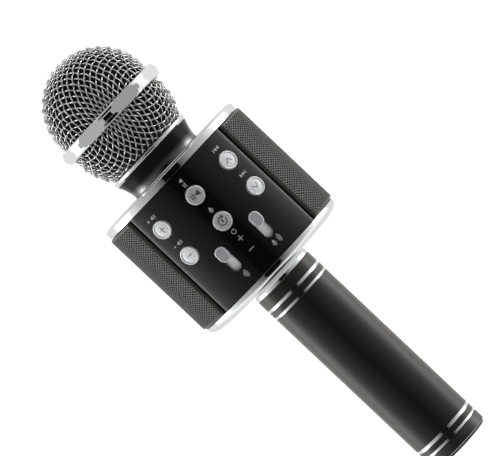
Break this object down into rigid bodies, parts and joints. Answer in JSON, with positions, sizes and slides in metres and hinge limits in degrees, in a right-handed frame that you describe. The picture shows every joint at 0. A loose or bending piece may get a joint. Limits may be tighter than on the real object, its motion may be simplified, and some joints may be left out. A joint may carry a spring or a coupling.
{
  "type": "karaoke microphone",
  "caption": "Hand-held karaoke microphone: black tube handle, speaker drum with push-button and slider panel, chrome trim and a woven wire ball head.",
  "frame": {"origin": "centre of the handle's flat end", "axes": "+Z along the handle towards the ball head, -Y out of the front control panel, +X to the right of someone who faces that panel"},
  "size_m": [0.082, 0.0822, 0.2455],
  "materials": {
    "coated_aluminium": "satin black coating",
    "bare_groove": "bright turned groove",
    "chrome": "polished chrome plating",
    "button_chrome": "satin chrome plating",
    "gloss_black": "polished",
    "matte_black": "moulded, matte",
    "grille_steel": "dark grey perforated sheet",
    "mesh_wire": "bright woven wire",
    "slider_grey": "satin",
    "print_white": "printed marks",
    "foam": "open-cell foam",
    "battery_wrap": "shrink wrap",
    "board_green": "solder mask",
    "plain_steel": "plain metal",
    "speaker_paper": "paper cone",
    "lens_clear": "clear"
  },
  "bodies": {
    "housing": {"handle_tube": "coated_aluminium", "end_cap": "coated_aluminium", "handle_collar": "chrome", "handle_socket": "matte_black", "battery_cell": "battery_wrap", "battery_tray": "matte_black", "bottom_plate": "chrome", "top_plate": "chrome", "drum_frame": "matte_black", "front_panel": "gloss_black", "rear_panel": "gloss_black", "left_grille": "grille_steel", "right_grille": "grille_steel", "left_speaker_basket": "plain_steel", "left_speaker_cone": "speaker_paper", "left_speaker_magnet": "plain_steel", "right_speaker_basket": "plain_steel", "right_speaker_cone": "speaker_paper", "right_speaker_magnet": "plain_steel", "main_board": "board_green", "rear_board": "board_green", "volume_up_switch": "matte_black", "volume_down_switch": "matte_black", "play_switch": "matte_black", "replay_switch": "matte_black", "previous_switch": "matte_black", "next_switch": "matte_black", "power_switch": "matte_black", "mode_switch": "matte_black", "echo_potentiometer": "plain_steel", "volume_potentiometer": "plain_steel", "charge_socket": "plain_steel", "headphone_socket": "matte_black", "card_socket": "plain_steel", "status_lens": "lens_clear", "neck_shroud": "gloss_black", "capsule_holder": "matte_black", "mic_capsule": "plain_steel", "socket_screw_1": "plain_steel", "socket_screw_2": "plain_steel", "socket_screw_3": "plain_steel", "neck_screw_1": "plain_steel", "neck_screw_2": "plain_steel", "neck_screw_3": "plain_steel"},
    "head_thread": {"neck_ring": "chrome"},
    "ball_head": {"lower_grille": "mesh_wire", "octagon_ring": "chrome", "upper_grille": "mesh_wire", "foam_windscreen": "foam"},
    "volume_up_button": {"volume_up_button": "button_chrome"},
    "volume_down_button": {"volume_down_button": "button_chrome"},
    "play_button": {"play_button": "button_chrome"},
    "replay_button": {"replay_button": "button_chrome"},
    "previous_button": {"previous_button": "button_chrome"},
    "next_button": {"next_button": "button_chrome"},
    "power_button": {"power_button": "button_chrome"},
    "mode_button": {"mode_button": "button_chrome"},
    "echo_slider": {"echo_slider": "slider_grey"},
    "volume_slider": {"volume_slider": "slider_grey"}
  },
  "joints": [
    {"name": "volume_up_press", "type": "slide", "parent": "housing", "child": "volume_up_button", "axis": [0.518, 0.8554, 0], "range_m": [0, 0.0006], "stiffness_N_per_m": 1200, "springref_m": -0.0006},
    {"name": "volume_down_press", "type": "slide", "parent": "housing", "child": "volume_down_button", "axis": [0.518, 0.8554, 0], "range_m": [0, 0.0006], "stiffness_N_per_m": 1200, "springref_m": -0.0006},
    {"name": "play_press", "type": "slide", "parent": "housing", "child": "play_button", "axis": [0, 1, 0], "range_m": [0, 0.0006], "stiffness_N_per_m": 1200, "springref_m": -0.0006},
    {"name": "replay_press", "type": "slide", "parent": "housing", "child": "replay_button", "axis": [0, 1, 0], "range_m": [0, 0.0006], "stiffness_N_per_m": 1200, "springref_m": -0.0006},
    {"name": "previous_press", "type": "slide", "parent": "housing", "child": "previous_button", "axis": [-0.518, 0.8554, 0], "range_m": [0, 0.0006], "stiffness_N_per_m": 1200, "springref_m": -0.0006},
    {"name": "next_press", "type": "slide", "parent": "housing", "child": "next_button", "axis": [-0.518, 0.8554, 0], "range_m": [0, 0.0006], "stiffness_N_per_m": 1200, "springref_m": -0.0006},
    {"name": "power_press", "type": "slide", "parent": "housing", "child": "power_button", "axis": [-0.2419, -0.9703, 0], "range_m": [0, 0.0006], "stiffness_N_per_m": 1200, "springref_m": -0.0006},
    {"name": "mode_press", "type": "slide", "parent": "housing", "child": "mode_button", "axis": [0.2419, -0.9703, 0], "range_m": [0, 0.0006], "stiffness_N_per_m": 1200, "springref_m": -0.0006},
    {"name": "echo_slide", "type": "slide", "parent": "housing", "child": "echo_slider", "axis": [0, 0, -1], "range_m": [0, 0.0064]},
    {"name": "volume_slide", "type": "slide", "parent": "housing", "child": "volume_slider", "axis": [0, 0, -1], "range_m": [0, 0.0064]},
    {"name": "head_turn", "type": "hinge", "parent": "head_thread", "child": "ball_head", "pos_m": [0, 0, 0.2133], "axis": [0, 0, 1], "range_deg": [0, 1080]},
    {"name": "head_lift", "type": "slide", "parent": "housing", "child": "head_thread", "axis": [0, 0, 1], "range_m": [0, 0.0045]}
  ],
  "couplings": [
    {"joint": "head_lift", "follows": "head_turn", "m_per_rad": 0.00023873}
  ]
}
